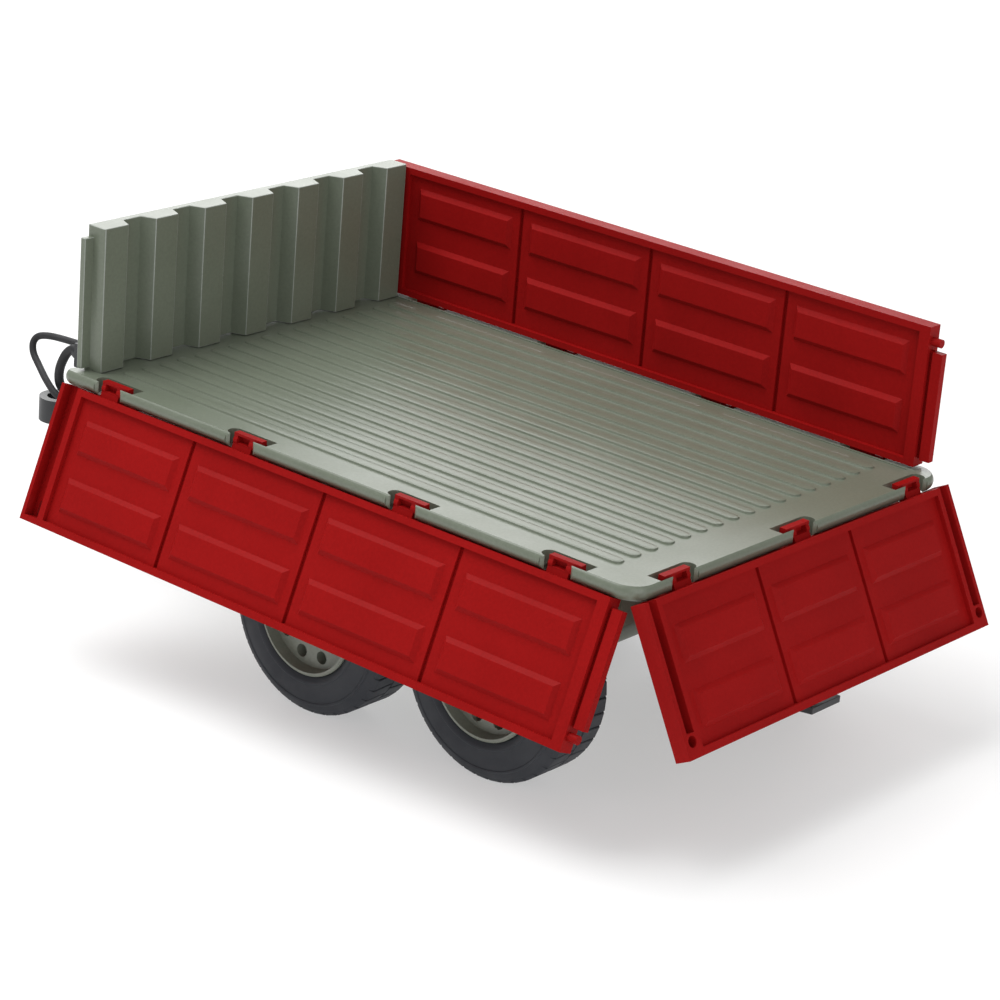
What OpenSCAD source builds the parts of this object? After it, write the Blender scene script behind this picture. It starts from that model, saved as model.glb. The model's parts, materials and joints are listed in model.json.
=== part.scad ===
// Tandem-axle drop-side trailer, a 1:16 scale moulded toy, in millimetres.
// +Z up, the drawbar points to -Y, +X is the trailer's own left side.
// Bed parts are drawn in the bed's own level frame (y = 0 at the front wall,
// z = 0 on the top of the edge rail) and then pitched nose-up by in_bed().

/* [Bed] */
// Inner face of a raised side panel, from the centre line
panel_inner = 82; // [81:0.1:82]
// Bed length from the front wall to the rear hinge line
bed_length = 265.4; // [265.4:0.1:268]
// Bed and chassis pitch, nose up, in degrees
pitch = 3; // [2.5:0.1:3]
// Height of the rail top over the ground, halfway along
ride_height = 98.04; // [98:0.01:98.5]
// Number of raised floor ribs
floor_ribs = 17; // [9:2:17]

/* [Panels] */
// Height of the side panels and the tailgate
panel_height = 52.7; // [50:0.1:52.7]
// Panel thickness
panel_thick = 6.2; // [6:0.1:6.2]
// How far the left panel is swung down from upright, in degrees
left_drop = 158.7; // [150:0.1:159]
// How far the tailgate is swung down from upright, in degrees
tail_drop = 152.5; // [148:0.1:152.5]

/* [Wheels] */
// Tyre radius
tyre_r = 37; // [36.5:0.1:37]
// Distance between the two axles
axle_gap = 83.2; // [82:0.1:85]
// Tread blocks round a tyre
tread_blocks = 24; // [18:1:24]

/* [Output] */
// Which sub-part to draw

/* [Hidden] */

grey = [0.60, 0.62, 0.57];
red = [0.62, 0.10, 0.10];
dark = [0.20, 0.20, 0.20];
rubber = [0.17, 0.18, 0.20];
steel = [0.72, 0.72, 0.74];

e = 0.01;
origin_x = -10.28;          // puts the origin under the middle of the whole box
origin_y = -86.55;
pitch_y = 130;             // the bed pitches about this station
axle_mid = 156.3;          // station of the bogie, on the ground

// hinge lines of the panels, all at one height
hinge_z = -2.5;
hinge_x = 85.7;
pin_r = 1.9;
key_w = 1.3;
key_top = 3;               // reach of a hook's key from the hinge line
window_back = -0.4;        // how deep the key's window is sunk
window_foot = -0.5;
pin_gap = 0.3;
nose_r = 3.3;
panel_foot = 1;            // underside of a raised panel
tail_inner = 260.3;        // inner face of the closed tailgate
corner_r = 6;
deck_t = 3;
floor_z = -0.4;            // floor between the rails
rib_top = 0.2;
rib_half = 2.4;
rib_gap = 9;
rib_front = 16;
rib_rear = 246.6;
wall_skin = 2;              // thickness of a hollow ridge's face
field_depth = 1.7;         // sunk field under the panel's inner face
pad_depth = 0.3;           // top of a pad under the panel's inner face
groove_depth = 2.9;
pad_h = 13;
pad_bevel = 1.8;
pad_rows = [10, 32];       // foot of each row of pads
side_dividers = [68.4, 132.5, 195.8];
tail_dividers = [-27, 27];
pocket = 1.6;

panel_front = -1;
latch_high = 8.4;          // latch window, down from the panel's top
latch_low = 2.6;
panel_rear = 259.5;
hook_len = 13.5;
slot_len = 16.5;
stem_len = 9;
side_hooks = [17, 85, 162, 230.5];    // front edge of each stem
tail_hooks = [-75.8, -8.3, 58.5];     // right edge of each stem
slot_extra = 4.2;
stem_gap = 0.75;
nose_plan_r = 2;
nose_plan_x = 0.9;
tail_half = 88;

wall_y = 0.6;
wall_t = 3;
wall_top = 55;
wall_half = 81.4;
ridge_out = 9.3;
ridge_pitch = 25.1;

rail_x = 26;
rail_w = 8;
rail_top = -3.02;          // the rails carry the deck
under_rib = -6;
screw_rows = [30, 130, 230];
screw_x = 13;
screw_r = 1.25;
screw_head_r = 2.3;
rail_bot = -27;

pivot_z = 40;              // bogie pivot over the ground
pin_bogie_r = 3;
wheel_holes = 10;
hole_phase = 0.47;         // turn of the rim's holes, in steps of one hole
hole_circle = 15.8;
hole_r = 2.4;
axle_r = 2.5;
hub_out = 80.8;            // outer lip of a rim
tread_out = 77.8;
tread_in = 57.3;
rim_r = 21.7;

eye_y = -101;
eye_top = -57;
eye_h = 10;
eye_r = 8;
eye_bore = 4.8;
hose_a = [-3, -33];         // x, z of each hose at the bracket
hose_b = [4, -32.7];
hose_a_r = 1.5;
hose_b_r = 2;
leg_y = -40;
leg_z = -46;
frame_rear = 252.8;
bolt_x = 10;
bolt_z = -20;

// ---------- frames ----------
module in_bed() {
  translate([origin_x, origin_y + pitch_y, ride_height])
    rotate([-pitch, 0, 0]) translate([0, -pitch_y, 0]) children();
}
module on_ground() { translate([origin_x, origin_y, 0]) children(); }
module along_x(x0, x1, y, z, r, fn = 32) {
  translate([x0, y, z]) rotate([0, 90, 0]) cylinder(h = x1 - x0, r = r, $fn = fn);
}
module along_y(y0, y1, x, z, r, fn = 32) {
  translate([x, y0, z]) rotate([-90, 0, 0]) cylinder(h = y1 - y0, r = r, $fn = fn);
}
module up(x, y, z0, z1, r, fn = 32) {
  translate([x, y, z0]) cylinder(h = z1 - z0, r = r, $fn = fn);
}
module box(a, b) { translate(a) cube(b - a); }

// ---------- panels, drawn upright on the +X side ----------
// profile in the x-z plane, run along y
module run_y(y0, y1, pts) {
  translate([0, y1, 0]) rotate([90, 0, 0]) linear_extrude(height = y1 - y0) polygon(pts);
}
// raised pad with a bevel on all four sides, its foot on the sunk field
module pad(y0, y1, h0) {
  h1 = h0 + pad_h;
  intersection() {
    run_y(y0, y1, [[field_depth + e, h0], [pad_depth, h0 + pad_bevel], [pad_depth, h1 - pad_bevel], [field_depth + e, h1]]);
    translate([0, 0, h0]) linear_extrude(height = pad_h)
      polygon([[field_depth + e, y0], [pad_depth, y0 + pad_bevel], [pad_depth, y1 - pad_bevel], [field_depth + e, y1]]);
  }
}
// sunk field of a panel face with its pads left standing, and the grooves between bays, as one cutter
module field_cut(y0, y1, dividers, foot) {
  edges = concat([y0], dividers, [y1]);
  difference() {
    box([-e, y0, foot + 2.4], [field_depth, y1, foot + panel_height - 2.6]);
    for (i = [0:len(edges) - 2], h = pad_rows)
      pad(edges[i] + 4.8, edges[i + 1] - 4.4, foot + h);
  }
  for (y = dividers) box([-e, y - 0.9, foot + 2.4], [groove_depth, y + 0.9, foot + panel_height - 2.6]);
}

// hook: a plate under the panel's foot, a round bar on the hinge line, and a key that stands up when the panel is down
module hook(y0, px, down) {
  difference() {
    union() {
      along_y(y0, y0 + hook_len, px, hinge_z, pin_r, 32);
      translate([px, 0, hinge_z]) rotate([0, -down, 0]) box([-key_w, y0, 0], [key_w, y0 + hook_len, key_top]);
      run_y(y0, y0 + stem_len, [[px - 1.3, hinge_z], [px + 1.3, hinge_z],
        [px + 2.2, panel_foot + e], [px + 2.2, panel_foot + 1.5], [px - 1.3, panel_foot + 1.5]]);
    }
    // window under the key's top, open to the outside
    translate([px, 0, hinge_z]) rotate([0, -down, 0])
      box([window_back, y0 + 1.8, window_foot], [key_w + 1, y0 + stem_len - 1.4, key_top - 0.9]);
  }
}

module side_panel() {
  z0 = panel_foot;
  z1 = panel_foot + panel_height;
  xi = panel_inner;
  xo = xi + panel_thick;
  difference() {
    union() {
      box([xi, panel_front, z0], [xo, panel_rear, z1]);
      // tongue that the closed tailgate laps round
      difference() {
        box([xi + 0.8, panel_rear - 1, z0 + 3], [xi + 3.6, panel_rear + 5.7, z1 - 9]);
        box([xi, panel_rear, z0], [xi + 2.3, panel_rear + 1.6, z1]);
      }
      // locking peg
      along_y(panel_rear - 1, panel_rear + 4, xi + 2.4, z1 - 5.6, 1.6, 24);
    }
    translate([xi, 0, 0]) field_cut(10.4, 255, side_dividers, z0);
    // recess for the front wall's tongue, and its latch window
    box([xi - e, panel_front + 1.7, z0 - e], [xi + 4.3, 7.6, z1 - 2.2]);
    box([xi, 2.6, z1 - latch_high], [xo + 1, 7.6, z1 - latch_low]);
    // outside of the panel: a pocket behind each pad, so the wall is even
    for (y0 = concat([10.4], side_dividers), h = pad_rows)
      box([xo - pocket, y0 + 6.5, z0 + h + 1.5], [xo + e, y0 + 51.5, z0 + h + pad_h - 1.5]);
  }
  for (y0 = side_hooks) hook(y0, hinge_x, left_drop);
}

// swings an upright +X panel down about its hinge line
module dropped(angle) {
  translate([hinge_x, 0, hinge_z]) rotate([0, angle, 0]) translate([-hinge_x, 0, -hinge_z]) children();
}

// tailgate, drawn along y like a side panel and turned to the rear afterwards
module tail_plate() {
  z0 = panel_foot;
  z1 = panel_foot + panel_height;
  xi = 0;
  xo = panel_thick;
  difference() {
    box([xi, -tail_half, z0], [xo, tail_half, z1]);
    translate([xi, 0, 0]) field_cut(-80, 80, tail_dividers, z0);
    for (s = [-1, 1]) {
      // groove for the side panel's tongue, open at the foot
      box([xi - e, s > 0 ? panel_inner + 0.3 : -panel_inner - 4.1, z0 - e], [xi + 5.4, s > 0 ? panel_inner + 4.1 : -panel_inner - 0.3, z1 - 8.4]);
      // hole for the locking peg
      translate([-e, s * (panel_inner + 2.4), z1 - 5.6]) rotate([0, 90, 0]) cylinder(h = panel_thick - 1, r = 2, $fn = 24);
    }
    for (y0 = concat([-80], tail_dividers), h = pad_rows)
      box([xo - pocket, y0 + 6.5, z0 + h + 1.5], [xo + e, y0 + 46, z0 + h + pad_h - 1.5]);
  }
  px = bed_length - tail_inner;
  for (y0 = tail_hooks) hook(y0, px, tail_drop);
}
module left_panel() { color(red) in_bed() dropped(left_drop) side_panel(); }
module right_panel() { color(red) in_bed() mirror([1, 0, 0]) side_panel(); }
module tailgate() {
  color(red) in_bed() translate([0, bed_length, hinge_z]) rotate([-tail_drop, 0, 0])
    translate([0, tail_inner - bed_length, -hinge_z]) rotate([0, 0, 90]) mirror([0, 1, 0]) tail_plate();
}

// ---------- bed ----------
module rail_round() {
  for (s = [-1, 1]) {
    along_y(wall_y, bed_length - corner_r, s * hinge_x, hinge_z, nose_r);
    translate([s * hinge_x, wall_y, hinge_z]) sphere(r = nose_r, $fn = 32);
    translate([s * (hinge_x - corner_r), bed_length - corner_r, hinge_z])
      rotate([0, 0, s > 0 ? 0 : 90]) rotate_extrude(angle = 90, $fn = 48)
        translate([corner_r, 0]) circle(r = nose_r, $fn = 32);
  }
  along_x(-hinge_x + corner_r, hinge_x - corner_r, bed_length, hinge_z, nose_r);
}
module deck_outline(grow) {
  hx = hinge_x + grow;
  ly = bed_length + grow;
  translate([-hx, wall_y]) square([2 * hx, ly - corner_r - grow - wall_y]);
  translate([-hx + corner_r + grow, wall_y]) square([2 * (hx - corner_r - grow), ly - wall_y]);
  for (s = [-1, 1]) translate([s * (hinge_x - corner_r), bed_length - corner_r]) circle(r = corner_r + grow, $fn = 48);
}
module rib(x) {
  box([x - rib_half, rib_front, -1], [x + rib_half, rib_rear, rib_top]);
  for (y = [rib_front, rib_rear]) up(x, y, -1, rib_top, rib_half, 20);
}
// slot for one hook along y from 0: open at the nose for the stem, with a rounded empty end ahead of it
module hook_slot() {
  inner = -sqrt(key_w * key_w + key_top * key_top) - pin_gap;
  outer = pin_r + pin_gap;
  mid = (inner + outer) / 2;
  box([inner, -slot_extra + outer - mid, -8], [outer, slot_len, 3]);
  up(mid, -slot_extra + outer - mid, -8, 3, outer - mid, 32);
  box([inner, -stem_gap, -8], [nose_r + 3, stem_len + stem_gap, 3]);
  // the nose ends beside the stem are rounded in plan
  difference() {
    box([nose_plan_x, -stem_gap - nose_plan_r, -8], [nose_r + 3, stem_len + stem_gap + nose_plan_r, 3]);
    for (y = [-stem_gap - nose_plan_r, stem_len + stem_gap + nose_plan_r]) up(nose_plan_x, y, -9, 4, nose_plan_r, 32);
  }
}
module platform() {
  color(grey) in_bed() difference() {
    union() {
      difference() {
        translate([0, 0, -deck_t]) linear_extrude(height = deck_t) deck_outline(0);
        box([-81, wall_y - e, floor_z], [81, 258, 1]);
      }
      difference() { rail_round(); box([-100, -9, 0], [100, 300, 9]); }
      for (i = [0:floor_ribs - 1]) rib((i - (floor_ribs - 1) / 2) * rib_gap);
      // shallow ribs under the deck, outboard of the frame rails
      for (s = [-1, 1]) {
        box([s * 79 - 1, 4, under_rib], [s * 79 + 1, 256, -deck_t + e]);
        for (y = [6, 54, 102, 150, 198])
          box([s > 0 ? rail_x + 4.4 : -80, y, under_rib], [s > 0 ? 80 : -rail_x - 4.4, y + 2.2, -deck_t + e]);
      }
      box([-80, 253, -19], [80, 256.5, -deck_t + e]);
    }
    for (y0 = side_hooks) {
      translate([hinge_x, y0, 0]) hook_slot();
      mirror([1, 0, 0]) translate([hinge_x, y0, 0]) hook_slot();
    }
    for (x0 = tail_hooks) translate([x0, bed_length, 0]) rotate([0, 0, 90]) mirror([0, 1, 0]) hook_slot();
    // pilot holes of the deck screws
    for (y = screw_rows) for (s = [-1, 1]) up(s * screw_x, y, -5, -0.9, screw_r + 0.05, 20);
    // seats of the front wall's feet
    for (x = [-60, 0, 60]) box([x - 6.2, wall_y + 0.6, -9], [x + 6.2, wall_y + 2.6, 1]);
  }
}

module front_wall() {
  color(grey) in_bed() {
    difference() {
      union() {
        box([-wall_half, wall_y, 0], [wall_half, wall_y + wall_t, wall_top]);
        intersection() {
          box([-wall_half, wall_y, 0], [wall_half, ridge_out + 1, wall_top]);
          for (i = [-3:3]) translate([i * ridge_pitch, 0, 0]) linear_extrude(height = wall_top)
            polygon([[-8.2, wall_y + wall_t - e], [-5.6, ridge_out], [5.6, ridge_out], [8.2, wall_y + wall_t - e]]);
        }
      }
      // the ridges are hollow from the front
      for (i = [-3:3]) translate([i * ridge_pitch, 0, 7]) linear_extrude(height = wall_top - 10)
        polygon([[-5.6, wall_y - e], [-4, ridge_out - wall_skin], [4, ridge_out - wall_skin], [5.6, wall_y - e]]);
    }
    for (s = [-1, 1])
      box([s > 0 ? wall_half - e : -panel_inner - 3.6, wall_y + 0.6, panel_foot],
          [s > 0 ? panel_inner + 3.6 : -wall_half + e, wall_y + wall_t, wall_top - 4.2]);
    // feet in the deck
    for (x = [-60, 0, 60]) box([x - 6, wall_y + 0.8, -2.9], [x + 6, wall_y + 2.4, e]);
  }
}

// ---------- chassis ----------
module chassis_frame() {
  color(grey) in_bed() difference() {
    union() {
      for (s = [-1, 1]) box([s * rail_x - rail_w / 2, -2, rail_bot], [s * rail_x + rail_w / 2, frame_rear, rail_top]);
      for (y = concat([2], screw_rows)) box([-rail_x, y - 4, rail_bot + 2], [rail_x, y + 4, rail_top]);
      box([-rail_x, frame_rear - 14, rail_bot], [rail_x, frame_rear, rail_top]);
      // hangers that carry the bogie pin
      for (s = [-1, 1]) hanger(s * 36.5);
    }
    for (y = screw_rows) for (s = [-1, 1]) {
      up(s * screw_x, y, rail_bot, rail_bot + 5, screw_head_r + 0.1, 24);
      up(s * screw_x, y, rail_bot, rail_top + 1, screw_r + 0.05, 20);
    }
    // bore for the bogie pin
    along_x(-50, 50, pivot_y(), pivot_bed_z(), pin_bogie_r + 0.02);
    for (s = [-1, 1]) along_y(-4, 4, s * bolt_x, bolt_z, 1.42, 20);
  }
}
// the bogie pivot seen from the bed's frame
function pivot_y() = pitch_y + (axle_mid - pitch_y) * cos(pitch) - (pivot_z - ride_height) * sin(pitch);
function pivot_bed_z() = (axle_mid - pitch_y) * sin(pitch) + (pivot_z - ride_height) * cos(pitch);
module hanger(x) {
  side = x > 0 ? 1 : -1;
  difference() {
    translate([x - 2.5, 0, 0]) rotate([90, 0, 90]) linear_extrude(height = 5)
      polygon([[pivot_y() - 26, -14], [pivot_y() + 26, -14], [pivot_y() + 24, rail_bot],
        [pivot_y() + 7, pivot_bed_z() - 6], [pivot_y() - 7, pivot_bed_z() - 6], [pivot_y() - 24, rail_bot]]);
    translate([x - 3, 0, 0]) rotate([90, 0, 90]) linear_extrude(height = 6)
      polygon([[pivot_y() - 12, rail_bot - 2], [pivot_y() + 12, rail_bot - 2], [pivot_y() + 6, pivot_bed_z() + 8],
        [pivot_y() - 6, pivot_bed_z() + 8]]);
  }
  box([side > 0 ? rail_x : x - 2.5, pivot_y() - 24, rail_bot + 2], [side > 0 ? x + 2.5 : -rail_x, pivot_y() + 24, rail_bot + 6]);
}

// drawbar: two arms that meet at the eye, sloping down
module drawbar() {
  color(dark) in_bed() difference() {
    union() {
      intersection() {
        translate([0, 0, -90]) linear_extrude(height = 90) difference() {
          polygon([[-rail_x - 4, -2.02], [-7, -88], [-7, -93], [7, -93], [7, -88], [rail_x + 4, -2.02]]);
          polygon([[-15, -13], [-4, -62], [4, -62], [15, -13]]);
        }
        run_x(-40, 40, [[-2.02, -13.6], [-2.02, -29], [-66, -61], [-93, -66], [-93, -58], [-70, -51], [-12, -14.6]]);
      }
      // cheeks that carry the leg
      box([-12, leg_y - 6, leg_z - 6], [12, leg_y + 6, -36]);
    }
    // fork for the leg
    box([-3.4, leg_y - 9, -70], [3.4, leg_y + 9, leg_z + 7]);
    along_x(-24, 24, leg_y, leg_z, 1.5, 24);
    for (s = [-1, 1]) along_y(-14, 0, s * bolt_x, bolt_z, 1.42, 20);
    // seat of the eye and of its shank
    up(0, eye_y, -80, -40, eye_r + 0.02, 64);
    box([-3.02, -95, eye_top - 7.52], [3.02, -83.98, eye_top - 2.48]);
    up(0.5, -82, -62, -40, 2.02, 24);
  }
}
module hitch_eye() {
  color(dark) in_bed() difference() {
    union() {
      up(0, eye_y, eye_top - eye_h, eye_top, eye_r, 64);
      box([-3, eye_y + eye_r - 1.5, eye_top - 7.5], [3, -84, eye_top - 2.5]);
    }
    up(0, eye_y, eye_top - eye_h - 1, eye_top + 1, eye_bore, 48);
  }
}
module drawbar_bolts() {
  color(steel) in_bed() for (s = [-1, 1]) {
    along_y(-13.02, 3, s * bolt_x, bolt_z, 1.4, 20);
    along_y(-15, -13.02, s * bolt_x, bolt_z, 2.4, 24);
  }
}

// post on the drawbar that holds the two hoses' rear ends
module hose_bracket() {
  color(dark) in_bed() {
    up(0.5, -82, -60, -36, 2, 24);
    difference() {
      union() {
        box([-6.5, -84, -38], [8, -80, -28]);
        along_y(-86.5, -84 + e, hose_b[0], hose_b[1], 3.3, 32);
      }
      along_y(-90, -70, hose_a[0], hose_a[1], hose_a_r + 0.05, 20);
      along_y(-90, -70, hose_b[0], hose_b[1], hose_b_r + 0.05, 20);
    }
  }
}
module coupling_body() {
  difference() {
    run_x(-8.25, 8.25, [[239, rail_bot - 0.02], [244, -44], [262, -61], [272, -62], [288, -60], [288, -52], [284, -48],
      [272, -48], [258, -38], [252, rail_bot - 0.02]]);
    // jaw
    box([-9, 271, -57.5], [9, 290, -52.5]);
    up(0, 280, -70, -40, 2, 24);
  }
}
module run_x(x0, x1, pts) { translate([x0, 0, 0]) rotate([90, 0, 90]) linear_extrude(height = x1 - x0) polygon(pts); }
module rear_coupling() { color(dark) in_bed() coupling_body(); }
module coupling_pin() {
  color(steel) in_bed() {
    up(0, 280, -63.5, -47.98, 1.98, 24);
    up(0, 280, -47.98, -46.4, 3.2, 24);
  }
}
module deck_screws() {
  color(steel) in_bed() for (y = screw_rows) for (s = [-1, 1]) {
    up(s * screw_x, y, rail_bot + 3, rail_bot + 5, screw_head_r, 24);
    up(s * screw_x, y, rail_bot + 5 - e, -1.1, screw_r, 20);
  }
}
module bogie_pin() {
  color(steel) on_ground() {
    along_x(-51.4, 51.4, axle_mid, pivot_z, pin_bogie_r, 32);
    for (s = [-1, 1]) along_x(s > 0 ? 51.4 : -53, s > 0 ? 53 : -51.4, axle_mid, pivot_z, 4.4, 32);
  }
}

// ---------- support leg ----------
module leg_pin() { color(steel) in_bed() along_x(-20.4, 20.4, leg_y, leg_z, 1.45, 24); }
// the leg pivot seen from the ground
function leg_gy() = pitch_y + (leg_y - pitch_y) * cos(pitch) + leg_z * sin(pitch);
function leg_gz() = ride_height - (leg_y - pitch_y) * sin(pitch) + leg_z * cos(pitch);
module support_leg() {
  color(dark) on_ground() difference() {
    union() {
      along_x(-3, 3, leg_gy(), leg_gz(), 4.4, 32);
      box([-3, leg_gy() - 3, 8], [3, leg_gy() + 3, leg_gz()]);
    }
    along_x(-5, 5, leg_gy(), leg_gz(), 1.52, 24);
    up(0, leg_gy(), 0, 18, 1.6, 24);
  }
}
module leg_foot() {
  color(dark) on_ground() {
    translate([0, leg_gy(), 0]) {
      cylinder(h = 2, r = 9, $fn = 48);
      translate([0, 0, 2 - e]) cylinder(h = 3, r1 = 7.5, r2 = 3, $fn = 48);
      cylinder(h = 17.5, r = 1.58, $fn = 24);
    }
  }
}

// ---------- bogie and wheels, level on the ground ----------
module bogie_rocker() {
  color(grey) on_ground() difference() {
    union() {
      for (s = [-1, 1]) translate([s * 47.5 - 3.5, axle_mid, 0]) rotate([90, 0, 90]) linear_extrude(height = 7)
        polygon([[-48, 32], [-48, 42], [-38, 44], [-9, 47], [9, 47], [38, 44], [48, 42], [48, 32], [38, 31], [9, 33], [-9, 33], [-38, 31]]);
      for (d = [-axle_gap / 2, axle_gap / 2]) along_x(-50, 50, axle_mid + d, tyre_r, 5, 32);
    }
    along_x(-60, 60, axle_mid, pivot_z, pin_bogie_r + 0.06, 32);
    for (d = [-axle_gap / 2, axle_gap / 2]) along_x(-60, 60, axle_mid + d, tyre_r, axle_r + 0.05, 32);
  }
}
module axle(d) {
  color(steel) on_ground() along_x(-79, 79, axle_mid + d, tyre_r, axle_r, 32);
}
// wheel parts are drawn about their own axis, outer side towards +Z
module tyre_body() {
  w = tread_out - tread_in;
  rotate_extrude($fn = 96) polygon([
    [rim_r + 0.05, -2], [rim_r + 3, -3], [30, -2.6], [34.6, -0.6], [tyre_r - 1.2, 0.4], [tyre_r - 1.2, w - 0.4],
    [34.6, w + 0.6], [30, w + 2.6], [rim_r + 3, w + 3], [rim_r + 0.05, w + 2]]);
  for (i = [0:tread_blocks - 1]) rotate([0, 0, 360 / tread_blocks * (i + 0.5)]) lug(w);
}
// two staggered blocks of one tread pitch
module lug(w) {
  step = 360 / tread_blocks;
  for (k = [0, 1]) rotate([0, 0, k * step / 2]) intersection() {
    translate([0, 0, k == 0 ? 0 : w / 2 + 0.6]) difference() {
      cylinder(h = w / 2 - 0.6, r = tyre_r, $fn = 96);
      translate([0, 0, -1]) cylinder(h = w, r = tyre_r - 1.6, $fn = 96);
    }
    translate([20, -3.1, -1]) cube([30, 6.2, w + 2]);
  }
}
module rim_body() {
  w = tread_out - tread_in;
  top = w + hub_out - tread_out;
  disc = top - 5;
  difference() {
    rotate_extrude($fn = 72) polygon([
      [axle_r + 0.02, -2.6], [7, -2.6], [8, -0.6], [rim_r - 4, 0.6], [rim_r - 2.4, -1], [rim_r, -1.6],
      [rim_r, top - 0.6], [rim_r - 0.6, top], [rim_r - 1.4, top], [rim_r - 1.9, disc + 0.4],
      [9.5, disc], [8, top - 1.6], [axle_r + 0.02, top - 1.6]]);
    for (i = [0:wheel_holes - 1]) rotate([0, 0, 360 / wheel_holes * (i + hole_phase)]) translate([hole_circle, 0, disc - 3.6])
      cylinder(h = top, r = hole_r, $fn = 20);
  }
}
module cap_body() {
  w = tread_out - tread_in;
  top = w + hub_out - tread_out;
  translate([0, 0, top - 1.6]) difference() {
    rotate_extrude($fn = 48) polygon([[0, 0], [5.4, 0], [5.4, 1.4], [4.2, 2.6], [0, 2.9]]);
    translate([0, 0, -e]) cylinder(h = 0.3, r = axle_r + 0.2, $fn = 32);
  }
}
module wheel_at(s, d) {
  on_ground() translate([s * tread_in, axle_mid + d, tyre_r]) rotate([0, s * 90, 0]) children();
}
half_gap = axle_gap / 2;
module front_axle() { axle(-half_gap); }
module front_left_tyre() { color(rubber) wheel_at(1, -half_gap) tyre_body(); }
module front_left_rim() { color(grey) wheel_at(1, -half_gap) rim_body(); }
module front_left_cap() { color(dark) wheel_at(1, -half_gap) cap_body(); }
module front_right_tyre() { color(rubber) wheel_at(-1, -half_gap) tyre_body(); }
module front_right_rim() { color(grey) wheel_at(-1, -half_gap) rim_body(); }
module front_right_cap() { color(dark) wheel_at(-1, -half_gap) cap_body(); }
module rear_axle() { axle(half_gap); }
module rear_left_tyre() { color(rubber) wheel_at(1, half_gap) tyre_body(); }
module rear_left_rim() { color(grey) wheel_at(1, half_gap) rim_body(); }
module rear_left_cap() { color(dark) wheel_at(1, half_gap) cap_body(); }
module rear_right_tyre() { color(rubber) wheel_at(-1, half_gap) tyre_body(); }
module rear_right_rim() { color(grey) wheel_at(-1, half_gap) rim_body(); }
module rear_right_cap() { color(dark) wheel_at(-1, half_gap) cap_body(); }

// ---------- hoses, round tubes swept along smooth curves ----------
function unit(v) = v / norm(v);
// Catmull-Rom curve between knots b and c
function curve(a, b, c, d, t) = 0.5 * (2 * b + (c - a) * t + (2 * a - 5 * b + 4 * c - d) * t * t
  + (3 * b - a - 3 * c + d) * t * t * t);
function smooth_path(k, steps) = concat([for (i = [0:len(k) - 2], j = [0:steps - 1])
  curve(k[max(i - 1, 0)], k[i], k[i + 1], k[min(i + 2, len(k) - 1)], j / steps)], [k[len(k) - 1]]);
module hose(knots, r, sides = 14, steps = 4) {
  path = smooth_path(knots, steps);
  n = len(path);
  rings = [for (i = [0:n - 1])
    let (t = unit(path[min(i + 1, n - 1)] - path[max(i - 1, 0)]), u = unit([1, 0, 0] - t[0] * t), v = cross(t, u))
    for (a = [0:sides - 1]) path[i] + r * (cos(360 * a / sides) * u + sin(360 * a / sides) * v)];
  polyhedron(rings, concat(
    [[for (a = [0:sides - 1]) a]],
    [for (i = [0:n - 2], a = [0:sides - 1]) let (b = (a + 1) % sides)
      [i * sides + a, (i + 1) * sides + a, (i + 1) * sides + b, i * sides + b]],
    [[for (a = [sides - 1:-1:0]) (n - 1) * sides + a]]));
}
module brake_hose() {
  color(dark) in_bed() hose([[5.4, -89, -55.2], [6.6, -92.5, -54.3], [7.4, -96.1, -52.3], [5.6, -103.5, -48.8],
    [3, -110.6, -45.3], [1.8, -114.9, -42.3], [1, -116.6, -39.2], [0, -116.6, -36.8], [-1, -114.8, -35],
    [-2, -110.5, -34], [-2.6, -104, -33.4], [hose_a[0], -94, hose_a[1]], [hose_a[0], -86, hose_a[1]],
    [hose_a[0], -78, hose_a[1]]], hose_a_r);
}
module supply_hose() {
  color(dark) in_bed() hose([[-1.8, -90.5, -54.7], [0.8, -94.6, -53.4], [2.6, -96.9, -51.2], [3.6, -97.3, -47.4],
    [4, -96.4, -42.6], [4, -94.2, -37.8], [4, -92, -34.8], [hose_b[0], -89, hose_b[1]],
    [hose_b[0], -86.5, hose_b[1]], [hose_b[0], -83, hose_b[1]], [hose_b[0], -78, hose_b[1]]], hose_b_r);
}

chassis_frame();
platform();
front_wall();
drawbar();
hitch_eye();
hose_bracket();
brake_hose();
supply_hose();
rear_coupling();
coupling_pin();
bogie_pin();
deck_screws();
drawbar_bolts();
leg_pin();
support_leg();
leg_foot();
bogie_rocker();
left_panel();
right_panel();
tailgate();
front_axle();
front_left_tyre();
front_left_rim();
front_left_cap();
front_right_tyre();
front_right_rim();
front_right_cap();
rear_axle();
rear_left_tyre();
rear_left_rim();
rear_left_cap();
rear_right_tyre();
rear_right_rim();
rear_right_cap();
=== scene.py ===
# %% [markdown]
# # A toy drop-side trailer
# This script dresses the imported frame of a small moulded-plastic trailer: a ribbed grey bed, a corrugated
# front wall, red panels that fold down, and a rocking pair of axles. Most pieces are the frame's own shapes,
# and a size stated here is in millimetres, times MM. Moulded plastic never has a knife edge, so the main
# trick is to round the corners of each part.

# %% Load the frame and keep its box
import bmesh
import bpy
import json
import math
from mathutils import Matrix, Vector


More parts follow.
